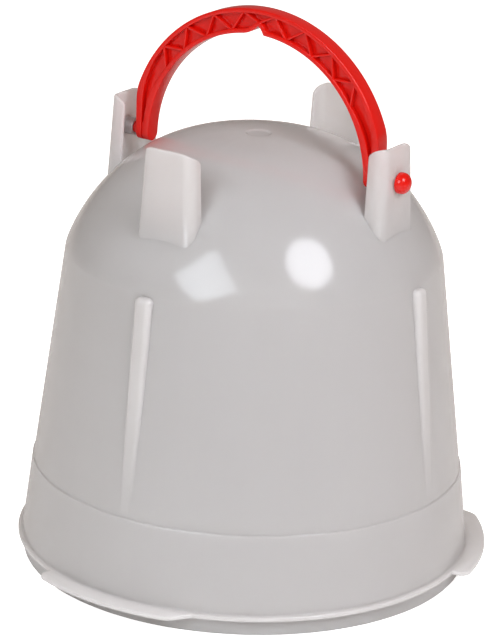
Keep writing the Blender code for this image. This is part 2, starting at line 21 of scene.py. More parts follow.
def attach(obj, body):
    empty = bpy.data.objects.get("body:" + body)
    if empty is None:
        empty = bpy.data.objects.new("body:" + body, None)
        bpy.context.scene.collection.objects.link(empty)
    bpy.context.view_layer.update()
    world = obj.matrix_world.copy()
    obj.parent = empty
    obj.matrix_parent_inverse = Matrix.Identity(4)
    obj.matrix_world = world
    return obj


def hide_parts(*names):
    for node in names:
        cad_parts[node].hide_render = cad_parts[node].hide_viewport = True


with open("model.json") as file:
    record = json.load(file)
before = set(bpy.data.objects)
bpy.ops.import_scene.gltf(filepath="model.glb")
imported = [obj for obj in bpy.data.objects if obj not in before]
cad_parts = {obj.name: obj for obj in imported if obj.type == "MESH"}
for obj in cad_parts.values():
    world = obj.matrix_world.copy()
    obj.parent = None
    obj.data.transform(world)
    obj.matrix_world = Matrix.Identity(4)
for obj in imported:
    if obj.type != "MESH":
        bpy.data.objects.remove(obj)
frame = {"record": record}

LOG = logging.getLogger("poultry_drinker")
MM = 0.001
SAME_POINT = 0.00001
TINY = 1e-12  # keeps a division from zero
FLAT_TURN = 0.2  # facets that turn by less than this are one
CORNER_TURN = 60.0  # edges that turn by more than this are corners
MITER_LIMIT = 0.4  # a corner's stretch ends at one over this
SIDE_SHARE = 0.49  # the most of a side that one rounding may take
ROD_FACETS = 48
FACES_AT_ONCE = 4096  # keeps the tables of faces and profile runs small
SAME_FACING = 0.85  # the least that a face's normal agrees with its profile's
ON_SKIN = 0.06 * MM  # the most that a face's middle stands off its profile
NOISE_LOW, NOISE_HIGH = 0.2, 0.8  # where most of a noise's values lie
WHITE = (1.0, 1.0, 1.0, 1.0)

Point = tuple[float, float]
Profile = list[Point]
WallPoint = tuple[Vector, Vector, float]
Chooser = Callable[[bmesh.types.BMEdge], bool]


class Operation(Enum):
    """What a Boolean does with its tool."""

    JOIN = "UNION"
    CUT = "DIFFERENCE"


class LampShape(Enum):
    """The outline of a lamp's face."""

    SQUARE_CUT = "RECTANGLE"
    ROUND = "ELLIPSE"


class Side(Enum):
    """The two ends of the handle's pivot axis."""

    RIGHT = 1
    LEFT = -1


# Shapes

def spread(start: float, end: float, count: int) -> list[float]:
    """Evenly spaced values from start to end, count steps apart and both included."""
    return [start + (end - start) * step / count for step in range(count + 1)]


def polar(radius: float, angle: float, centre_height: float = 0.0) -> Point:
    """A point at a radius and an angle from the first axis, its centre up the second axis."""
    turn = math.radians(angle)
    return radius * math.cos(turn), centre_height + radius * math.sin(turn)


def rounded(corners: list[tuple[float, float, float]], steps: int) -> Profile:
    """Round the corners of an open line.

    Args:
        corners: Points as (across, height, radius of the rounding there).
        steps: How many steps each rounding takes.

    Returns:
        The line with an arc at each corner that has a radius.
    """
    line: Profile = []
    for index, (across, height, radius) in enumerate(corners):
        if not radius or index in (0, len(corners) - 1):
            line.append((across, height))
            continue
        here = Vector((across, height))
        before = Vector(corners[index - 1][:2]) - here
        after = Vector(corners[index + 1][:2]) - here
        half = before.angle(after) / 2
        reach = min(radius / math.tan(half), SIDE_SHARE * before.length, SIDE_SHARE * after.length)
        middle = (before.normalized() + after.normalized()).normalized()
        centre = here + middle * reach / math.cos(half)
        first = here + before.normalized() * reach - centre
        sweep = first.angle_signed(here + after.normalized() * reach - centre)
        for share in spread(0.0, 1.0, steps):
            arm = first.copy()
            arm.rotate(Matrix.Rotation(-sweep * share, 2))
            line.append(tuple(centre + arm))
    return line


def moved_aside(line: Profile, distance: float) -> Profile:
    """Move a line to the right as it runs: inward, where it runs down a solid's outer side.

    Args:
        line: Its points.
        distance: How far to move it.

    Returns:
        The moved line, with its corners kept sharp.
    """
    moved: Profile = []
    for index, point in enumerate(line):
        here = Vector(point)
        runs = [here - Vector(line[max(index - 1, 0)]),
                Vector(line[min(index + 1, len(line) - 1)]) - here]
        normals = [Vector((run.y, -run.x)).normalized() for run in runs if run.length > 0]
        middle = sum(normals, Vector((0.0, 0.0))).normalized()
        stretch = max(middle.dot(normals[0]), MITER_LIMIT)
        moved.append(tuple(here + middle * distance / stretch))
    return moved


def new_object(name: str, data: bpy.types.ID) -> Object:
    """Put a mesh, curve, lamp or camera in the scene as an object of its own."""
    made = bpy.data.objects.new(name, data)
    bpy.context.scene.collection.objects.link(made)
    return made


def mesh_of(shape: bmesh.types.BMesh, name: str) -> Mesh:
    """Turn a finished BMesh into a mesh and free it."""
    mesh = bpy.data.meshes.new(name)
    shape.to_mesh(mesh)
    shape.free()
    return mesh


def turned_mesh(name: str, profile: Profile, steps: int) -> Mesh:
    """Turn a profile about Z into a closed skin.

    Args:
        name: Name of the mesh.
        profile: Points as (radius, height) that start and end on the axis, crown first.
        steps: How many facets go round.

    Returns:
        The mesh, its faces pointing out.
    """
    verts: list[tuple[float, float, float]] = []
    rings: list[list[int]] = []
    for radius, height in profile:
        if radius < SAME_POINT:
            verts.append((0.0, 0.0, height))
            rings.append([len(verts) - 1] * steps)
            continue
        rings.append(list(range(len(verts), len(verts) + steps)))
        for step in range(steps):
            turn = math.tau * step / steps
            verts.append((radius * math.cos(turn), radius * math.sin(turn), height))
    faces: list[list[int]] = []
    for upper, lower in zip(rings, rings[1:]):
        for step in range(steps):
            ahead = (step + 1) % steps
            corners = [upper[step], lower[step], lower[ahead], upper[ahead]]
            faces.append(list(dict.fromkeys(corners)))
    mesh = bpy.data.meshes.new(name)
    mesh.from_pydata(verts, [], faces)
    return mesh


def evaluated(source: Object) -> Mesh:
    """The mesh that an object shows with its modifiers, as a mesh of its own."""
    bpy.context.view_layer.update()
    shown = source.evaluated_get(bpy.context.evaluated_depsgraph_get())
    return bpy.data.meshes.new_from_object(shown)


def flat_mesh(outline: Profile, thickness: float, upright: bool = False) -> Mesh:
    """Give an outline a thickness, half of it to each side.

    Args:
        outline: Points of the closed outline.
        thickness: Whole thickness.
        upright: True to draw it in the XZ plane, False in the XY plane.

    Returns:
        The closed mesh, each of its flat faces whole.
    """
    curve = bpy.data.curves.new("outline", "CURVE")
    curve.dimensions = "2D"
    curve.fill_mode = "BOTH"
    curve.extrude = thickness / 2
    spline = curve.splines.new("POLY")
    spline.points.add(len(outline) - 1)
    for point, (across, along) in zip(spline.points, outline):
        point.co = (across, along, 0.0, 1.0)
    spline.use_cyclic_u = True
    drawn = new_object("outline", curve)
    shape = bmesh.new()
    shape.from_mesh(evaluated(drawn))
    bpy.data.objects.remove(drawn)
    bmesh.ops.remove_doubles(shape, verts=shape.verts, dist=SAME_POINT)
    bmesh.ops.dissolve_limit(shape, angle_limit=math.radians(FLAT_TURN), verts=shape.verts,
                             edges=shape.edges)
    if upright:
        shape.transform(Matrix.Rotation(math.radians(90), 4, "X"))
    return mesh_of(shape, "flat")


def lofted(name: str, rings: list[list[Vector]]) -> Mesh:
    """Span closed sections of the same number of points, and cap both ends.

    Args:
        name: Name of the mesh.
        rings: The sections in order.

    Returns:
        The closed mesh, its faces pointing out.
    """
    shape = bmesh.new()
    loops = [[shape.verts.new(point) for point in ring] for ring in rings]
    for one, two in zip(loops, loops[1:]):
        for index in range(len(one)):
            shape.faces.new((one[index - 1], one[index], two[index], two[index - 1]))
    shape.faces.new(loops[0][::-1])
    shape.faces.new(loops[-1])
    bmesh.ops.recalc_face_normals(shape, faces=shape.faces)
    return mesh_of(shape, name)


def rod_pair(radius: float, start: float, end: float, height: float = 0.0) -> Mesh:
    """Two round rods on one axis along X, each the other's mirror image.

    Args:
        radius: Their radius.
        start: Distance of their one end from the YZ plane.
        end: Distance of the other.
        height: Height of their axis.

    Returns:
        One mesh with both, each closed.
    """
    shape = bmesh.new()
    for side in Side:
        middle = Matrix.Translation((side.value * (start + end) / 2, 0.0, height))
        bmesh.ops.create_cone(shape, cap_ends=True, segments=ROD_FACETS, radius1=radius,
                              radius2=radius, depth=abs(end - start),
                              matrix=middle @ Matrix.Rotation(math.radians(90), 4, "Y"))
    return mesh_of(shape, "rods")


def is_corner(edge: bmesh.types.BMEdge) -> bool:
    """Whether the faces at an edge meet at a corner and not in one of a curve's steps."""
    return edge.is_manifold and edge.calc_face_angle() > math.radians(CORNER_TURN)


def round_edges(mesh: Mesh, chosen: Chooser, width: float, steps: int) -> Mesh:
    """Round some edges of a mesh.

    Args:
        mesh: The mesh.
        chosen: Says of an edge whether it is rounded.
        width: Radius of the rounding.
        steps: How many facets it takes.

    Returns:
        The rounded mesh.
    """
    shape = bmesh.new()
    shape.from_mesh(mesh)
    picked = [edge for edge in shape.edges if chosen(edge)]
    bmesh.ops.bevel(shape, geom=picked, offset=width, segments=steps, profile=0.5,
                    affect="EDGES", clamp_overlap=True)
    return mesh_of(shape, "rounded")


def combined(base: Mesh, steps: Iterable[tuple[Mesh, Operation]]) -> Mesh:
    """Join or cut a mesh with others in turn.

    Args:
        base: The mesh to start from.
        steps: Each tool with what is done with it.

    Returns:
        The new mesh.
    """
    body = new_object("body", base)
    tools = []
    for mesh, operation in steps:
        tool = new_object("tool", mesh)
        tools.append(tool)
        step = body.modifiers.new(operation.name.lower(), "BOOLEAN")
        step.operation = operation.value
        step.solver = "EXACT"
        step.object = tool
    result = evaluated(body)
    for helper in tools + [body]:
        bpy.data.objects.remove(helper)
    return result


def gathered(meshes: Iterable[Mesh]) -> Mesh:
    """Put meshes that stay separate skins into one mesh."""
    shape = bmesh.new()
    for mesh in meshes:
        shape.from_mesh(mesh)
    return mesh_of(shape, "gathered")


def smooth(mesh: Mesh, angle: float) -> None:
    """Shade a mesh smooth, with edges sharper than an angle left sharp."""
    mesh.shade_smooth()
    mesh.set_sharp_from_angle(angle=math.radians(angle))


def read_rows(items: bpy.types.bpy_prop_collection, name: str, width: int,
              kind: type = float) -> np.ndarray:
    """Read one property of a mesh's faces, corners or points.

    Args:
        items: The faces, corners or points.
        name: The property.
        width: How many numbers it holds.
        kind: float or int.

    Returns:
        A row of numbers for each item.
    """
    values = np.empty(len(items) * width, dtype=kind)
    items.foreach_get(name, values)
    return values.reshape(-1, width)


def profile_rows(profiles: list[Profile], sharp: float) -> np.ndarray:
    """List the runs of profiles with the normals that make them one smooth line.

    Args:
        profiles: Lines of (radius, height) points that run down an outer side, or up an inner one.
        sharp: Degrees of turn past which a profile's corner stays sharp.

    Returns:
        A row for each run: its start, its end and the normals there, two numbers each.
    """
    rows = []
    for line in profiles:
        points = [Vector(point) for point in line]
        runs = [after - before for before, after in zip(points, points[1:])]
        normals = [Vector((-run.y, run.x)).normalized() for run in runs]
        for index, facing in enumerate(normals):
            rows.append([*points[index], *points[index + 1]])
            for beside in (normals[max(index - 1, 0)], normals[min(index + 1, len(runs) - 1)]):
                shared = facing.angle(beside) < math.radians(sharp)
                rows[-1].extend((facing + beside).normalized() if shared else facing)
    return np.array(rows)


def shade_as_turned(mesh: Mesh, profiles: list[Profile], sharp: float) -> None:
    """Shade the faces that lie on turned surfaces exactly as the profiles run.

    A joined ear or rib leaves uneven facets round its foot, whose own normals would ripple.

    Args:
        mesh: The mesh, already shaded smooth by angle.
        profiles: Lines of (radius, height) points that run down an outer side, or up an inner one.
        sharp: Degrees of turn past which a profile's corner stays sharp.
    """
    def shares(spots: np.ndarray, starts: np.ndarray, runs: np.ndarray) -> np.ndarray:
        """How far along its run each spot lies, from 0 to 1."""
        squares = np.maximum((runs ** 2).sum(axis=-1), TINY)
        return np.clip(((spots - starts) * runs).sum(axis=-1) / squares, 0.0, 1.0)[..., None]

    rows = profile_rows(profiles, sharp)
    start, run = rows[:, :2], rows[:, 2:4] - rows[:, :2]
    normal_a, normal_b = rows[:, 4:6], rows[:, 6:8]
    middle = (normal_a + normal_b) / 2

    centre, facing = (read_rows(mesh.polygons, name, 3) for name in ("center", "normal"))
    radius = np.hypot(centre[:, 0], centre[:, 1])
    across = (facing[:, :2] * centre[:, :2]).sum(axis=1) / np.maximum(radius, TINY)
    nearest = np.full(len(centre), -1)
    for first in range(0, len(centre), FACES_AT_ONCE):
        part = slice(first, first + FACES_AT_ONCE)
        spot = np.stack([radius[part], centre[part, 2]], axis=1)[:, None, :]
        gap = np.linalg.norm(spot - start - shares(spot, start, run) * run, axis=2)
        agree = across[part, None] * middle[:, 0] + facing[part, 2, None] * middle[:, 1]
        gap = np.where(agree > SAME_FACING, gap, 1.0)
        nearest[part] = np.where(gap.min(axis=1) < ON_SKIN, gap.argmin(axis=1), -1)

    segment = np.repeat(nearest, read_rows(mesh.polygons, "loop_total", 1, int)[:, 0])
    on_skin = segment >= 0
    segment = segment[on_skin]
    corner = read_rows(mesh.loops, "vertex_index", 1, int)[on_skin, 0]
    place = read_rows(mesh.vertices, "co", 3)[corner]
    radius = np.hypot(place[:, 0], place[:, 1])
    spot = np.stack([radius, place[:, 2]], axis=1)
    share = shares(spot, start[segment], run[segment])
    blend = normal_a[segment] * (1 - share) + normal_b[segment] * share
    blend /= np.linalg.norm(blend, axis=1)[:, None]
    outward = place[:, :2] / np.maximum(radius, TINY)[:, None]
    result = read_rows(mesh.corner_normals, "vector", 3)
    result[on_skin] = np.concatenate([outward * blend[:, :1], blend[:, 1:]], axis=1)
    mesh.normals_split_custom_set(result.tolist())


# Finishes

def linear(hex_colour: str) -> tuple[float, float, float, float]:
    """Turn an sRGB colour to the linear one that shaders take.

    Args:
        hex_colour: Six hex digits.

    Returns:
        Linear red, green, blue, and an alpha of 1.
    """
    channels = [int(hex_colour[index:index + 2], 16) / 255 for index in (0, 2, 4)]
    red, green, blue = (value / 12.92 if value <= 0.04045 else ((value + 0.055) / 1.055) ** 2.4
                        for value in channels)
    return red, green, blue, 1.0


def add_node(tree: NodeTree, kind: str, **values: object) -> Node:
    """Add a node with its settings and links.

    Args:
        tree: The tree to add it to.
        kind: The node's Blender type, after ShaderNode.
        **values: A setting, where the name starts small. Otherwise what a socket takes, by its
            name with _ for a space, or by _ and its number: a value, an output socket, a node for
            its first output, or None for nothing.

    Returns:
        The node.
    """
    node = tree.nodes.new("ShaderNode" + kind)
    for name, value in values.items():
        if name[0].islower():
            setattr(node, name, value)
            continue
        socket = node.inputs[int(name[1:]) if name[1:].isdigit() else name.replace("_", " ")]
        source = value.outputs[0] if isinstance(value, Node) else value
        if isinstance(source, NodeSocket):
            tree.links.new(source, socket)
        elif source is not None:
            socket.default_value = source
    return node


def new_material(name: str) -> tuple[Material, NodeTree, NodeSocket]:
    """A material with nothing in its tree but an output.

    Args:
        name: Its name.

    Returns:
        The material, its tree and the output's surface socket.
    """
    made = bpy.data.materials.new(name)
    made.use_nodes = True
    tree = made.node_tree
    tree.nodes.clear()
    return made, tree, add_node(tree, "OutputMaterial").inputs["Surface"]


def seen_directly(tree: NodeTree, gloss: float) -> Node:
    """How far a ray sees the white background, and not only the light of the room.

    Args:
        tree: The tree to add the nodes to.
        gloss: How much of it a glossy reflection sees: the photograph's plastics mirror a dim room.

    Returns:
        A node that gives 1 for camera and transmission rays, and 0 for light that spreads.
    """
    path = add_node(tree, "LightPath").outputs
    seen = add_node(tree, "Math", operation="MULTIPLY", _0=path["Is Glossy Ray"], _1=gloss)
    for ray in ("Is Camera Ray", "Is Transmission Ray"):
        seen = add_node(tree, "Math", operation="MAXIMUM", _0=seen, _1=path[ray])
    return seen


@dataclass(frozen=True)
class MouldedPlastic:
    """A plastic as its mould leaves it.

    The eye gets two close tones, a gloss that changes in patches, slow waves and a fine peel.
    """

    name: str
    colour: str
    second_colour: str
    ior: float
    roughness_low: float
    roughness_high: float
    patch_mm: float
    patch_roughness: float
    wave_mm: float
    wave_height_mm: float
    peel_mm: float
    peel_height_mm: float

    def second_share(self, tree: NodeTree, place: NodeSocket, patches: Node) -> Node:
        """How much of the second tone shows: as much as the patches say."""
        return add_node(tree, "MapRange", Value=patches, _1=NOISE_LOW, _2=NOISE_HIGH)

    def body(self, tree: NodeTree) -> tuple[Node | None, dict[str, object]]:
        """The normal under the skin, and what the shader takes for light inside: neither."""
        return None, {}

    def build(self) -> Material:
        """Make the material."""
        made, tree, surface = new_material(self.name)
        place = add_node(tree, "TexCoord").outputs["Object"]
        patches = add_node(tree, "TexNoise", Vector=place, Scale=1 / (self.patch_mm * MM),
                           Detail=3.0, Roughness=self.patch_roughness)
        share = self.second_share(tree, place, patches)
        tone = add_node(tree, "Mix", data_type="RGBA", _0=share, _6=linear(self.colour),
                        _7=linear(self.second_colour))
        normal, inside = self.body(tree)
        for length, height, detail in ((self.wave_mm, self.wave_height_mm, 1.0),
                                       (self.peel_mm, self.peel_height_mm, 2.0)):
            relief = add_node(tree, "TexNoise", Vector=place, Scale=1 / (length * MM),
                              Detail=detail)
            normal = add_node(tree, "Bump", Height=relief, Distance=height * MM, Normal=normal)
        shine = add_node(tree, "MapRange", Value=patches, _1=NOISE_LOW, _2=NOISE_HIGH,
                         _3=self.roughness_low, _4=self.roughness_high)
        shader = add_node(tree, "BsdfPrincipled", Base_Color=tone.outputs[2], Roughness=shine,
                          IOR=self.ior, Normal=normal, **inside)
        tree.links.new(shader.outputs[0], surface)
        return made


@dataclass(frozen=True)
class NaturalHdpe(MouldedPlastic):
    """Injection moulded high density polyethylene with no pigment.

    The eye gets a milky wall that light sinks into and passes, so shadows are soft and thin edges
    glow, under a smooth skin that mirrors lamps with slightly soft edges. Slow cooling leaves the
    skin a little wavy, and the melt leaves faint streaks that fan out from the gate at the crown.
    """

    name: str = "natural_hdpe_moulded"
    colour: str = "DAD8D7"
    second_colour: str = "D6D4D3"
    ior: float = 1.54
    roughness_low: float = 0.11
    roughness_high: float = 0.16
    patch_mm: float = 70.0
    patch_roughness: float = 0.55
    wave_mm: float = 38.0
    wave_height_mm: float = 0.3
    peel_mm: float = 2.4  # real orange peel is under 1 mm; drawn coarser so that it shows at all
    peel_height_mm: float = 0.012
    scatter_mm: float = 15.0
    scatter_weight: float = 1.0
    soft_edge_mm: float = 1.3
    streak_count: float = 26.0
    streak_run: float = 0.6
    streak_full: float = 0.6

    def second_share(self, tree: NodeTree, place: NodeSocket, patches: Node) -> Node:
        """Streaks that fan out from the piece's own axis, and come and go with the patches."""
        level = add_node(tree, "VectorMath", operation="MULTIPLY", _0=place, _1=(1.0, 1.0, 0.0))
        spoke = add_node(tree, "VectorMath", operation="NORMALIZE", _0=level)
        run = add_node(tree, "VectorMath", operation="MULTIPLY", _0=place,
                       _1=(0.0, 0.0, self.streak_run))
        fan = add_node(tree, "VectorMath", operation="ADD", _0=spoke, _1=run)
        streaks = add_node(tree, "TexNoise", Vector=fan, Scale=self.streak_count / math.tau,
                           Detail=3.0, Roughness=0.6)
        blend = add_node(tree, "Math", operation="MULTIPLY", _0=streaks, _1=patches)
        return add_node(tree, "MapRange", Value=blend, _2=self.streak_full)

    def body(self, tree: NodeTree) -> tuple[Node | None, dict[str, object]]:
        """Soft edges under the skin, and light that sinks in and scatters."""
        return add_node(tree, "Bevel", samples=6, Radius=self.soft_edge_mm * MM), {
            "subsurface_method": "RANDOM_WALK", "Subsurface_Weight": self.scatter_weight,
            "Subsurface_Radius": (1.0, 1.0, 1.0), "Subsurface_Scale": self.scatter_mm * MM}


@dataclass(frozen=True)
class RedPolypropylene(MouldedPlastic):
    """Injection moulded polypropylene, pigmented an even orange red.

    The eye gets a dense saturated red with tight highlights from a polished mould, a little duller
    where the melt front cooled, and a faint waviness along the long flanges.
    """

    name: str = "red_polypropylene_moulded"
    colour: str = "EB170B"
    second_colour: str = "DE1309"
    ior: float = 1.49
    roughness_low: float = 0.12
    roughness_high: float = 0.2
    patch_mm: float = 22.0
    patch_roughness: float = 0.5
    wave_mm: float = 7.0
    wave_height_mm: float = 0.05
    peel_mm: float = 1.1  # a moulded skin's grain is about 0.3 mm; drawn coarser so that it shows
    peel_height_mm: float = 0.008


@dataclass(frozen=True)
class StudioPaper:
    """White background paper under the drinker.

    It takes the drinker's soft shadow as matt paper does, shows pure white beyond it, and throws
    a small share of that extra white back on the drinker, as an overlit background does.
    """

    colour: str = "F7F7F6"
    gloss_share: float = 0.06
    lift: float = 0.80
    bounce_share: float = 0.1
    grain_count: float = 400.0  # over the whole sheet, so 30 mm: real fibres would be lost here
    grain_height_mm: float = 0.2
    grain_strength: float = 0.05

    def build(self) -> Material:
        """Make the material."""
        made, tree, surface = new_material("studio_paper_matt")
        grain = add_node(tree, "TexNoise", Scale=self.grain_count, Detail=2.0)
        skin = add_node(tree, "Bump", Height=grain, Strength=self.grain_strength,
                        Distance=self.grain_height_mm * MM)
        paper = add_node(tree, "BsdfDiffuse", Color=linear(self.colour), Normal=skin)
        glow = add_node(tree, "Emission", Color=WHITE, Strength=self.lift)
        both = add_node(tree, "AddShader", _0=paper, _1=glow)
        seen = seen_directly(tree, self.gloss_share)
        share = add_node(tree, "Math", operation="MAXIMUM", _0=seen, _1=self.bounce_share)
        mixed = add_node(tree, "MixShader", _0=share, _1=paper, _2=both)
        tree.links.new(mixed.outputs[0], surface)
        return made


# Pieces

def placed(name: str, mesh: Mesh, place: Vector, finish: MouldedPlastic) -> Object:
    """Put a piece in its place.

    Args:
        name: Name of the piece.
        mesh: Its mesh, drawn from the place as origin.
        place: Where that origin is.
        finish: What it is made of.

    Returns:
        The piece with its material.
    """
    piece = new_object(name, mesh)
    piece.location = place
    mesh.materials.clear()
    mesh.materials.append(finish.build())
    return piece


@dataclass
class BellMoulding:
    """The water vessel: one moulding with its lip, flange, lugs, ribs, ears and hubs."""

    wall: float = 0.0028
    lip_radius: float = 0.170
    lip_wall: float = 0.0020
    lip_edge: float = 0.0006
    flange_foot: float = 0.012
    flange_top: float = 0.0155
    flange_radius: float = 0.1744956
    flange_edge: float = 0.0012
    flange_fillet: float = 0.0022
    skirt_slope: float = 0.117
    step_height: float = 0.0745
    step_depth: float = 0.0010
    step_rise: float = 0.0006
    step_edge: float = 0.0007
    body_foot_radius: float = 0.1632
    body_slope: float = 0.1277
    crease_height: float = 0.240
    crown_height: float = 0.331
    dome_rise_power: float = 1.23
    dome_round_power: float = 2.8
    gate_radius: float = 0.0095
    gate_depth: float = 0.0012
    gate_edge: float = 0.0012
    gate_rim_drop: float = 0.0001
    gate_rim_edge: float = 0.0005
    lug_angles: tuple[float, ...] = (-90.0, 30.0, 150.0)
    lug_span: float = 45.0
    lug_reach: float = 0.0115
    lug_thickness: float = 0.003
    lug_corner: float = 0.008
    lug_run_out: float = 0.026
    lug_edge: float = 0.0007
    ear_top: float = 0.343
    ear_width: float = 0.0424
    ear_face_radius: float = 0.121
    ear_inner_radius: float = 0.1078
    ear_side_draft: float = 3.0
    ear_face_draft: float = 2.0
    ear_wall: float = 0.003
    ear_edge: float = 0.008
    ear_end_turns: tuple[float, ...] = (88.0, 66.0, 44.0, 22.0)
    ear_end_corner: float = 0.010
    ear_corners: tuple[tuple[float, float], ...] = (
        (0.005, 0.016), (0.009, 0.009), (0.016, 0.005), (0.009, 0.010))
    rib_width: float = 0.014
    rib_top: float = 0.239
    rib_proud: float = 0.0055
    rib_flush_height: float = 0.079
    rib_edge: float = 0.0042
    hub_radius: float = 0.0065
    hole_radius: float = 0.0048
    pivot_height: float = 0.3155
    steps_round: int = 288
    dome_steps: int = 60
    corner_steps: int = 6
    smooth_angle: float = 40.0
    profile_angle: float = 35.0
    pass_through: float = 0.002  # how far a cutter reaches past what it cuts
    sink: float = 0.001  # how far a joined shape reaches into the wall
    finish: NaturalHdpe = field(default_factory=NaturalHdpe)

    def body_radius(self, height: float) -> float:
        """The outer radius between the step and the crease."""
        return self.body_foot_radius - self.body_slope * (height - self.step_height)

    def skirt_radius(self, height: float) -> float:
        """The outer radius between the flange and the step."""
        drop = self.step_height - height
        return self.body_foot_radius + self.step_depth + self.skirt_slope * drop

    def dome_point(self, turn: float) -> Point:
        """A point of the dome's outer curve: 0 degrees at the crease, 90 at the crown."""
        angle = math.radians(turn)
        rise = max(math.sin(angle), 0.0) ** (2 / self.dome_rise_power)
        inset = max(math.cos(angle), 0.0) ** (2 / self.dome_round_power)
        height = self.crease_height + (self.crown_height - self.crease_height) * rise
        return self.body_radius(self.crease_height) * inset, height

    def dome_line(self) -> Profile:
        """The dome from the crown to the crease, with its points crowded at both ends."""
        line = [self.dome_point(90 * (1 + math.cos(math.pi * share)) / 2)
                for share in spread(0.0, 1.0, self.dome_steps)]
        line[0] = (0.0, self.crown_height)
        while line[-1][0] - line[-2][0] < self.body_slope * (line[-2][1] - line[-1][1]):
            line.pop()
        return line

    def outer_line(self) -> Profile:
        """The whole outer side, from the gate's dish down to the lip's foot."""
        skin = [point for point in self.dome_line() if point[0] > self.gate_radius + self.gate_edge]
        dish_floor = self.crown_height - self.gate_depth
        dish = rounded([
            (0.0, dish_floor, 0.0),
            (self.gate_radius - self.gate_edge, dish_floor, 2 * self.gate_edge),
            (self.gate_radius, self.crown_height - self.gate_rim_drop, self.gate_rim_edge),
            (*skin[0], 0.0),
        ], self.corner_steps)
        ledge = self.step_height + self.step_rise
        foot = rounded([
            (*skin[-1], 0.0),
            (self.body_radius(ledge), ledge, self.step_edge),
            (self.skirt_radius(self.step_height), self.step_height, self.step_edge),
            (self.skirt_radius(self.flange_top), self.flange_top, self.flange_fillet),
            (self.flange_radius, self.flange_top, self.flange_edge),
            (self.flange_radius, self.flange_foot, self.flange_edge),
            (self.lip_radius, self.flange_foot, self.step_edge),
            (self.lip_radius, 0.0, self.lip_edge),
            (self.lip_radius - self.lip_wall, 0.0, 0.0),
        ], self.corner_steps)
        return dish[:-1] + skin[:-1] + foot

    def inner_line(self) -> Profile:
        """The hollow's side, from the crown down to the mouth."""
        ledge, fillet_top = self.step_height + self.step_rise, self.flange_top + self.flange_fillet
        line = moved_aside(self.dome_line() + [
            (self.body_radius(ledge), ledge),
            (self.skirt_radius(self.step_height), self.step_height),
            (self.skirt_radius(fillet_top), fillet_top),
        ], self.wall)
        top = self.crown_height - self.gate_depth - self.wall
        line = [(radius, min(height, top)) for radius, height in line if radius > SAME_POINT]
        mouth = self.lip_radius - self.lip_wall
        line[-1] = (min(line[-1][0], mouth), line[-1][1])
        return [(0.0, top)] + line + [(mouth, self.flange_foot), (mouth, -self.pass_through)]

    def lug_outline(self, centre: float) -> Profile:
        """One lug's plan: a steep rounded end clockwise, and an end that runs out gently."""
        start = centre - self.lug_span / 2
        length = (self.flange_radius + self.lug_reach) * math.radians(self.lug_span)
        run_out_start = length - self.lug_run_out
        places = [self.lug_corner - polar(self.lug_corner, turn)[0] for turn in spread(0, 90, 5)]
        places += spread(self.lug_corner, run_out_start, 10)[1:-1]
        places += spread(run_out_start, length, 10)
        outline: Profile = []
        for along in places:
            reach = self.lug_reach
            if along < self.lug_corner:
                short = self.lug_corner - along
                reach += math.sqrt(self.lug_corner ** 2 - short ** 2) - self.lug_corner
            elif along > run_out_start:
                share = 1 - (length - along) / self.lug_run_out
                reach = (reach + self.sink) * (1 + math.cos(math.pi * share)) / 2 - self.sink
            angle = start + self.lug_span * along / length
            outline.append(polar(self.flange_radius + reach, angle))
        back = spread(start + self.lug_span, start, 9)
        return outline + [polar(self.lip_radius, angle) for angle in back]

    def lug_mesh(self, centre: float) -> Mesh:
        """One lug, its rim softened."""
        def at_rim(edge: bmesh.types.BMEdge) -> bool:
            """Whether an edge runs level along the lug's outer side."""
            one, two = (vert.co for vert in edge.verts)
            outside = max(one.xy.length, two.xy.length) > self.flange_radius - 2 * self.sink
            return is_corner(edge) and outside and abs(one.z - two.z) < self.sink

        mesh = flat_mesh(self.lug_outline(centre), self.lug_thickness)
        mesh = round_edges(mesh, at_rim, self.lug_edge, 3)
        mesh.transform(Matrix.Translation((0.0, 0.0, (self.flange_foot + self.flange_top) / 2)))
        return mesh

    def ear_face(self, height: float) -> Point:
        """How far out the ear's face stands at a height, and its half width there."""
        drop = self.ear_top - height
        return (self.ear_face_radius + drop * math.tan(math.radians(self.ear_face_draft)),
                self.ear_width / 2 + drop * math.tan(math.radians(self.ear_side_draft)))

    def ear_rim(self, across: float, aside: float, corner: float) -> float:
        """The rim's height at a place in plan: level, falling off at the side and the free end.

        Args:
            across: Distance from the bell's axis.
            aside: Distance from the middle of the face.
            corner: Radius of the fall at this side.

        Returns:
            The height.
        """
        end = self.ear_end_corner
        past_side = max(0.0, aside - (self.ear_width / 2 + self.sink - corner))
        past_end = max(0.0, self.ear_inner_radius - self.sink + end - across)
        side_fall = corner - math.sqrt(max(0.0, corner ** 2 - past_side ** 2))
        end_fall = end - math.sqrt(max(0.0, end ** 2 - past_end ** 2))
        return self.ear_top - side_fall - end_fall

    def ear_path(self, height: float) -> list[WallPoint]:
        """Half of the ear's wall in plan, from its free end to the middle of its face.

        Args:
            height: The level to take the plan at.

        Returns:
            Points of the wall's middle, each with its outward direction and half thickness.
        """
        thin = self.ear_wall / 2
        face, half = (reach - thin for reach in self.ear_face(height))
        bend = self.ear_edge - thin
        end = self.ear_inner_radius + thin
        aside = Vector((0.0, 1.0))
        path: list[WallPoint] = []
        for turn in self.ear_end_turns:
            left, back = polar(thin, turn)
            path.append((Vector((end - back, half)), aside, left))
        path += [(Vector((across, half)), aside, thin) for across in spread(end, face - bend, 8)]
        for turn in spread(90.0, 0.0, 10)[1:]:
            out = Vector(polar(1.0, turn))
            path.append((Vector((face - bend, half - bend)) + out * bend, out, thin))
        for place in spread(half - bend, 0.0, 4)[1:]:
            path.append((Vector((face, place)), Vector((1.0, 0.0)), thin))
        return path

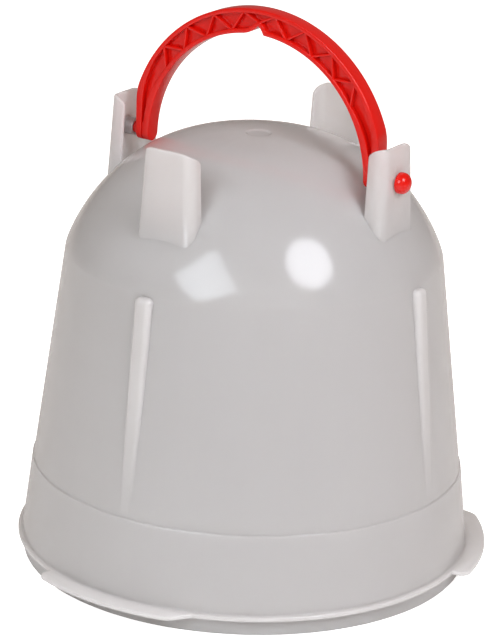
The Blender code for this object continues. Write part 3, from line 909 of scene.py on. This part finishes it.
    def ear_ring(self, foot: WallPoint, top: WallPoint, mirror: int,
                 corner: float) -> list[Vector]:
        """One upright section of the ear's wall, with its rim rounded right over.

        Args:
            foot: A point of the plan at the foot.
            top: The same point of the plan at the rim.
            mirror: 1 for the counterclockwise half of the ear, -1 for the other.
            corner: Radius of the rim's fall at that half.

        Returns:
            Points from the outer foot over the rim to the inner foot.
        """
        start, outward, thin = foot
        centre = self.ear_rim(top[0].x, top[0].y, corner) - thin
        share = (centre - self.crease_height) / (self.ear_top - self.crease_height)
        place = start.lerp(top[0], share)
        flat = [(start + outward * thin, self.crease_height)]
        for turn in spread(0.0, 180.0, 8):
            out, rise = polar(thin, turn)
            flat.append((place + outward * out, centre + rise))
        flat.append((start - outward * thin, self.crease_height))
        return [Vector((spot.x, mirror * spot.y, height)) for spot, height in flat]

    def ear_mesh(self, corners: tuple[float, float]) -> Mesh:
        """One ear, on +X: a channel open at the top and to the axis, its rim fully rounded.

        Args:
            corners: Radius of the rim's fall on the clockwise and the counterclockwise side.

        Returns:
            The closed mesh.
        """
        pairs = list(zip(self.ear_path(self.crease_height), self.ear_path(self.ear_top)))
        rings = [self.ear_ring(foot, top, 1, corners[1]) for foot, top in pairs]
        rings += [self.ear_ring(foot, top, -1, corners[0]) for foot, top in reversed(pairs[:-1])]
        return lofted("ear", rings)

    def rib_mesh(self) -> Mesh:
        """One rib, on +X: proud at its top ledge, and flush with the body near the step."""
        top_radius = self.body_radius(self.rib_top) + self.rib_proud
        flush_radius = self.body_radius(self.rib_flush_height)
        slope = (flush_radius - top_radius) / (self.rib_top - self.rib_flush_height)
        foot = self.step_height - self.sink
        foot_radius = flush_radius + slope * (self.rib_flush_height - foot)
        inner = self.body_radius(self.rib_top) - 2 * self.wall
        shape = bmesh.new()
        bmesh.ops.create_cube(shape, size=1.0)
        for vert in shape.verts:
            outer, height = (top_radius, self.rib_top) if vert.co.z > 0 else (foot_radius, foot)
            vert.co = (outer if vert.co.x > 0 else inner, vert.co.y * self.rib_width, height)
        return round_edges(mesh_of(shape, "rib"),
                           lambda edge: min(vert.co.x for vert in edge.verts) > inner
                           and max(vert.co.z for vert in edge.verts) > foot + self.sink,
                           self.rib_edge, 7)

    def build(self, axis: Vector) -> Object:
        """Make the bell.

        Args:
            axis: The point where the bell's axis meets the ground.

        Returns:
            The dressed piece, riding on its body.
        """
        outer, inner = self.outer_line(), self.inner_line()
        whole = turned_mesh("bell_outside", outer + [(0.0, 0.0)], self.steps_round)
        hollow = turned_mesh("bell_inside", inner + [(0.0, -self.pass_through)], self.steps_round)
        added = [self.lug_mesh(centre) for centre in self.lug_angles]
        for number, corners in enumerate(self.ear_corners):
            turn = Matrix.Rotation(math.tau * number / len(self.ear_corners), 4, "Z")
            for shape in (self.ear_mesh(corners), self.rib_mesh()):
                shape.transform(turn)
                added.append(shape)
        hub_start = self.ear_inner_radius + self.ear_wall
        face = self.ear_face(self.pivot_height)[0]
        hubs = rod_pair(self.hub_radius, hub_start, face - self.sink, self.pivot_height)
        holes = rod_pair(self.hole_radius, hub_start - self.pass_through,
                         face + self.pass_through, self.pivot_height)
        mesh = combined(whole, [(gathered(added), Operation.JOIN), (hubs, Operation.JOIN),
                                (hollow, Operation.CUT), (holes, Operation.CUT)])
        smooth(mesh, self.smooth_angle)
        shade_as_turned(mesh, [outer, inner[::-1]], self.profile_angle)
        piece = placed("bell_moulding", mesh, axis, self.finish)
        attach(piece, "bell")
        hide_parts("bell")
        return piece


@dataclass(frozen=True)
class Station:
    """One section of the handle: places in the XZ plane, a pocket's depth, and half the width.

    On both faces the pocket lies from the low to the high place.
    """

    inner: Vector
    low: Vector
    high: Vector
    outer: Vector
    depth: float
    half: float

    def mirrored(self) -> "Station":
        """The same section in the handle's other arm."""
        places = (Vector((-place.x, place.y))
                  for place in (self.inner, self.low, self.high, self.outer))
        return Station(*places, self.depth, self.half)


@dataclass
class BailHandle:
    """The bail: an I-section arch with a zigzag rib, a hanging notch and two bored arms."""

    width: float = 0.0135
    outer_radius: float = 0.112
    outer_drop: float = 0.0022
    inner_radius: float = 0.0955
    inner_drop: float = 0.0044
    arm_outer_x: float = 0.107
    arm_blend: float = 0.0022
    arm_end: float = 0.0082
    flange: float = 0.0034
    web: float = 0.003
    edge: float = 0.0007
    pocket_edge_share: float = 0.6
    edge_limit: float = 0.45
    edge_ends: tuple[float, float] = (2.0, 178.0)
    edge_steps: int = 1600
    station_counts: tuple[int, ...] = (4, 1, 96, 12, 24, 90, 1, 4)
    truss_start: float = 34.0
    truss_count: int = 8
    truss_rib: float = 0.0018
    truss_inset: float = 0.0008
    truss_reach: float = 0.001
    truss_edge: float = 0.0004
    groove_width: float = 0.0018
    groove_depth: float = 0.0012
    groove_depth_limit: float = 0.8
    groove_start: float = 6.0
    deepening: float = 0.4  # degrees in which the groove falls to the pocket's depth
    tip_half: float = 0.00002  # the arm's round end closes on this half width, not on a line
    notch_left: float = 0.014
    notch_right: float = 0.005
    notch_depth: float = 0.0063
    notch_left_power: float = 2.2
    notch_right_power: float = 1.5
    hole_radius: float = 0.0048
    bore_depth: float = 0.009
    pass_through: float = 0.002
    smooth_angle: float = 32.0
    finish: RedPolypropylene = field(default_factory=RedPolypropylene)

    def outer_point(self, angle: float, margin: float = 0.0) -> Vector:
        """A point of the outer edge, seen from the inner edge's centre, less a margin."""
        rise = self.inner_drop - self.outer_drop
        sideways, up = polar(rise, angle)
        radius = up + math.sqrt((self.outer_radius - margin) ** 2 - sideways ** 2)
        across, height = polar(radius, angle, -self.inner_drop)
        limit = self.arm_outer_x - margin
        past = max(0.0, min(abs(across) - limit + self.arm_blend, 2 * self.arm_blend))
        eased = min(abs(across), limit + self.arm_blend) - past ** 2 / (4 * self.arm_blend)
        return Vector((math.copysign(eased, across), height))

    def notch_rise(self, across: float) -> float:
        """How far the hanging notch lifts the inner edge."""
        if -self.notch_left < across <= 0:
            return self.notch_depth * (1 + across / self.notch_left) ** self.notch_left_power
        if 0 < across < self.notch_right:
            return self.notch_depth * (1 - (across / self.notch_right) ** self.notch_right_power)
        return 0.0

    def inner_point(self, angle: float) -> Vector:
        """A point of the inner edge, with the notch."""
        across, height = polar(self.inner_radius, angle, -self.inner_drop)
        return Vector((across, height + self.notch_rise(across)))

    @cached_property
    def edge_points(self) -> np.ndarray:
        """The inner edge in short steps, seen from its arch's centre."""
        angles = spread(*self.edge_ends, self.edge_steps)
        return np.array([self.inner_point(angle) for angle in angles]) + (0.0, self.inner_drop)

    def pocket_sides(self, angle: float) -> tuple[Vector, Vector]:
        """The pocket's inner and outer points at an angle: full in the arch, narrow in the arms.

        Args:
            angle: Where on the handle.

        Returns:
            Both points, the inner one a flange's width off every part of the inner edge.
        """
        outer = self.outer_point(angle, self.flange)
        ray = np.array(polar(1.0, angle))
        along = self.edge_points @ ray
        aside = np.linalg.norm(self.edge_points - along[:, None] * ray, axis=1)
        near = (along > 0) & (aside < self.flange)
        reach = (along[near] + np.sqrt(self.flange ** 2 - aside[near] ** 2)).max(initial=0.0)
        inner = Vector(polar(max(reach, self.inner_radius + self.flange), angle, -self.inner_drop))
        from_end = min(angle, 180.0 - angle) - self.groove_start
        share = max(0.0, min(1.0, from_end / (self.truss_start - self.groove_start)))
        full = (outer - inner).length
        width = self.groove_width + (full - self.groove_width) * share
        along_ray = (outer - inner).normalized() * width / 2
        middle = (outer + inner) / 2
        return middle - along_ray, middle + along_ray

    def foot_station(self, turn: float, inner_x: float) -> Station:
        """A section of the right arm's round end: 0 degrees at its start, 90 at its tip."""
        half, drop = polar(self.width / 2, turn)
        height = -self.arm_end + self.width / 2 - drop
        half = max(half, self.tip_half)
        middle = (inner_x + self.arm_outer_x) / 2
        places = (Vector((across, height)) for across in (
            inner_x, middle - self.groove_width / 2, middle + self.groove_width / 2,
            self.arm_outer_x))
        return Station(*places, min(self.groove_depth, self.groove_depth_limit * half), half)

    def stations(self) -> list[Station]:
        """Sections along the whole handle, from the right arm's tip to the left's."""
        rise = self.inner_drop - self.arm_end + self.width / 2
        arm, right, left = (math.degrees(math.asin(reach / self.inner_radius))
                            for reach in (rise, self.notch_right, self.notch_left))
        groove, full = self.groove_start, self.groove_start + self.deepening
        marks = [arm, groove, full, 90 - right, 90.0, 90 + left, 180.0 - full, 180.0 - groove,
                 180.0 - arm]
        angles: list[float] = []
        for start, end, count in zip(marks, marks[1:], self.station_counts):
            angles += spread(start, end, count)[1:]
        arch: list[Station] = []
        for angle in angles[:-1]:
            in_groove = min(angle, 180.0 - angle) <= groove
            depth = self.groove_depth if in_groove else (self.width - self.web) / 2
            arch.append(Station(self.inner_point(angle), *self.pocket_sides(angle),
                                self.outer_point(angle), depth, self.width / 2))
        inner_x = self.inner_point(arm).x
        feet = [self.foot_station(turn, inner_x) for turn in spread(0.0, 90.0, 12)]
        return feet[::-1] + arch + [foot.mirrored() for foot in feet]

    def section(self, station: Station) -> list[Vector]:
        """The I-section at one station, its outer corners rounded.

        Args:
            station: The station.

        Returns:
            Points round the section in 3-D.
        """
        inner, half = station.inner, station.half
        axis = (station.outer - inner).normalized()
        low, high, outer = ((place - inner).dot(axis)
                            for place in (station.low, station.high, station.outer))
        soft = min(self.edge, self.edge_limit * half)
        inside = soft * self.pocket_edge_share
        floor = half - station.depth
        points = rounded([(0.0, 0.0, 0.0), (0.0, half, soft), (low, half, inside),
                          (low, floor, 0.0), (high, floor, 0.0), (high, half, inside),
                          (outer, half, soft), (outer, 0.0, 0.0)], 3)
        line = points[:-1] + [(along, -out) for along, out in points[:0:-1]]
        return [Vector((inner.x + axis.x * along, out, inner.y + axis.y * along))
                for along, out in line]

    def truss_mesh(self) -> Mesh:
        """The zigzag rib on both faces of the web, its crest softened."""
        angles = spread(self.truss_start, 180 - self.truss_start, 2 * self.truss_count)
        line: Profile = []
        for step, angle in enumerate(angles):
            low, high = self.pocket_sides(angle)
            inward = (low - high).normalized() * self.truss_reach
            line.append(tuple(low + inward if step % 2 == 0 else high - inward))
        half = self.truss_rib / 2
        outline = moved_aside(line, -half) + moved_aside(line, half)[::-1]
        mesh = flat_mesh(outline, self.width - 2 * self.truss_inset, upright=True)
        return round_edges(mesh, lambda edge: is_corner(edge)
                           and abs(edge.verts[0].co.y - edge.verts[1].co.y) < MM,
                           self.truss_edge, 2)

    def build(self, pivot: Vector) -> Object:
        """Make the handle.

        Args:
            pivot: The middle of the pivot axis.

        Returns:
            The dressed piece, riding on its body.
        """
        arch = lofted("arch", [self.section(station) for station in self.stations()])
        bores = rod_pair(self.hole_radius, self.arm_outer_x - self.bore_depth,
                         self.arm_outer_x + self.pass_through)
        mesh = gathered([combined(arch, [(bores, Operation.CUT)]), self.truss_mesh()])
        smooth(mesh, self.smooth_angle)
        piece = placed("bail_handle", mesh, pivot, self.finish)
        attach(piece, "handle")
        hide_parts("handle")
        return piece


@dataclass
class PivotPin:
    """A push-in pin with a domed head outside the ear."""

    radius: float = 0.0045
    head_radius: float = 0.008
    head_edge: float = 0.0025
    head_height: float = 0.009
    head_corner: float = 0.0005
    shank_corner: float = 0.0002
    lead: float = 0.0008
    seat: float = 0.12253
    end: float = 0.0983
    steps_round: int = 64
    smooth_angle: float = 35.0
    finish: RedPolypropylene = field(default_factory=RedPolypropylene)

    def profile(self) -> Profile:
        """Half of the pin's outline, from the head's crown to the shank's end."""
        dome: Profile = [(0.0, self.head_height)]
        for turn in spread(90.0, 0.0, 24)[1:]:
            across, height = polar(1.0, turn)
            dome.append((self.head_radius * across,
                         self.head_edge + (self.head_height - self.head_edge) * height))
        length = self.seat - self.end
        shank = rounded([
            (*dome[-1], 0.0),
            (self.head_radius, 0.0, self.head_corner),
            (self.radius, 0.0, self.shank_corner),
            (self.radius, self.lead - length, self.shank_corner),
            (self.radius - self.lead, -length, 0.0),
        ], 4)
        return dome[:-1] + shank + [(0.0, -length)]

    def build(self, side: Side, pivot: Vector) -> Object:
        """Make one pin.

        Args:
            side: The ear that it goes through.
            pivot: The middle of the pivot axis.

        Returns:
            The dressed piece, riding on its body.
        """
        mesh = turned_mesh("pin", self.profile(), self.steps_round)
        mesh.transform(Matrix.Translation((side.value * self.seat, 0.0, 0.0)) @
                       Matrix.Rotation(side.value * math.radians(90), 4, "Y"))
        smooth(mesh, self.smooth_angle)
        name = side.name.lower()
        piece = placed("push_pin_" + name, mesh, pivot, self.finish)
        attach(piece, "handle")
        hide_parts("pivot_pin_" + name)
        return piece


# Studio

@dataclass
class Softbox:
    """A flat lamp, square cut or round, that faces the drinker."""

    name: str
    azimuth: float
    elevation: float
    width: float
    height: float
    radiance: float
    colour: str
    shape: LampShape = LampShape.SQUARE_CUT
    spin: float = 0.0
    distance: float = 1.6
    mirrored: bool = True

    def build(self, target: Vector) -> None:
        """Hang the lamp.

        Args:
            target: The point that it faces.
        """
        lamp = bpy.data.lights.new(self.name, "AREA")
        lamp.shape = self.shape.value
        lamp.size, lamp.size_y = self.width, self.height
        fill = math.pi / 4 if self.shape is LampShape.ROUND else 1.0
        # An area lamp's radiance is its power over four times its area.
        lamp.energy = 4 * self.radiance * self.width * self.height * fill
        lamp.color = linear(self.colour)[:3]
        made = new_object(self.name, lamp)
        made.visible_glossy = self.mirrored
        flat, rise = polar(self.distance, self.elevation)
        across, along = polar(flat, self.azimuth)
        made.location = target + Vector((across, along, rise))
        made.rotation_mode = "QUATERNION"
        spin = Matrix.Rotation(math.radians(self.spin), 3, "Z").to_quaternion()
        made.rotation_quaternion = (made.location - target).to_track_quat("Z", "Y") @ spin


@dataclass
class Studio:
    """Floor, lamps, world and camera."""

    azimuth: float = 32.64
    elevation: float = 18.93
    roll: float = 2.11
    distance: float = 2.419
    lens: float = 228.9
    sensor: float = 36.0
    target: tuple[float, float, float] = (-0.0008, 0.0001, 0.1826)
    lamp_target_height: float = 0.24
    world_level: float = 0.30
    mirrored_level: float = 0.15
    world_colour: str = "FFE9DC"
    floor_size: float = 12.0
    floor_drop: float = 0.0002
    paper: StudioPaper = field(default_factory=StudioPaper)
    lamps: tuple[Softbox, ...] = (
        Softbox("softbox_left", -88.5, 31.0, 0.74, 0.74, 4.1, "EEF7FF", spin=45.0),
        Softbox("softbox_right", -16.4, 41.0, 0.72, 0.78, 6.75, "F6F8FF", LampShape.ROUND),
        Softbox("front_fill", -57.0, 20.0, 5.0, 2.8, 0.19, "FFF5EA", distance=3.6),
        Softbox("back_fill", 123.0, 40.0, 2.6, 1.8, 0.7, "FFFDF8", distance=2.4, mirrored=False),
    )

    def build(self, axis: Vector) -> None:
        """Set up everything round the drinker.

        Args:
            axis: The point where the bell's axis meets the ground.
        """
        self.build_floor()
        self.build_world()
        for lamp in self.lamps:
            lamp.build(axis + Vector((0.0, 0.0, self.lamp_target_height)))
        self.build_camera(axis)
        bpy.context.scene.view_settings.view_transform = "Standard"

    def build_floor(self) -> None:
        """Lay the paper."""
        shape = bmesh.new()
        bmesh.ops.create_grid(shape, x_segments=2, y_segments=2, size=self.floor_size / 2)
        floor = new_object("studio_floor", mesh_of(shape, "studio_floor"))
        floor.location.z = -self.floor_drop
        floor.data.materials.append(self.paper.build())

    def build_world(self) -> None:
        """White where it is seen, a dim fill for its light, and a darker room in reflections."""
        world = bpy.data.worlds.new("studio")
        world.use_nodes = True
        tree = world.node_tree
        tree.nodes.clear()
        glossy = add_node(tree, "LightPath").outputs["Is Glossy Ray"]
        level = add_node(tree, "MapRange", Value=glossy, _3=self.world_level,
                         _4=self.mirrored_level)
        fill = add_node(tree, "Background", Color=linear(self.world_colour), Strength=level)
        white = add_node(tree, "Background", Color=WHITE)
        seen = seen_directly(tree, self.paper.gloss_share)
        mixed = add_node(tree, "MixShader", _0=seen, _1=fill, _2=white)
        add_node(tree, "OutputWorld", Surface=mixed)
        bpy.context.scene.world = world

    def build_camera(self, axis: Vector) -> None:
        """Place the camera at the photograph's angle."""
        turn, tilt, roll = (math.radians(angle)
                            for angle in (self.azimuth, self.elevation, self.roll))
        level = Vector((math.cos(turn), math.sin(turn), 0.0))
        back = Vector((math.sin(turn) * math.cos(tilt), -math.cos(turn) * math.cos(tilt),
                       math.sin(tilt)))
        right = level * math.cos(roll) + back.cross(level) * math.sin(roll)
        lens = bpy.data.cameras.new("photo_camera")
        lens.sensor_fit = "HORIZONTAL"
        lens.sensor_width = self.sensor
        lens.lens = self.lens
        lens.clip_start, lens.clip_end = 0.05, 50.0
        camera = new_object("photo_camera", lens)
        place = Matrix((right, back.cross(right), back)).transposed().to_4x4()
        place.translation = axis + Vector(self.target) + back * self.distance
        camera.matrix_world = place
        bpy.context.scene.camera = camera


def main() -> None:
    """Build the drinker and the studio, and report each piece."""
    logging.basicConfig(level=logging.INFO, format="%(name)s: %(message)s")
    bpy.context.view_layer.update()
    pivot = Vector(frame["record"]["behaviour"]["joints"][0]["pos_m"])
    axis = Vector((pivot.x, pivot.y, 0.0))
    pieces = [BellMoulding().build(axis), BailHandle().build(pivot)]
    pieces += [PivotPin().build(side, pivot) for side in Side]
    for piece in pieces:
        LOG.info("%s: %d faces", piece.name, len(piece.data.polygons))
    Studio().build(axis)


if __name__ == "__main__":
    main()
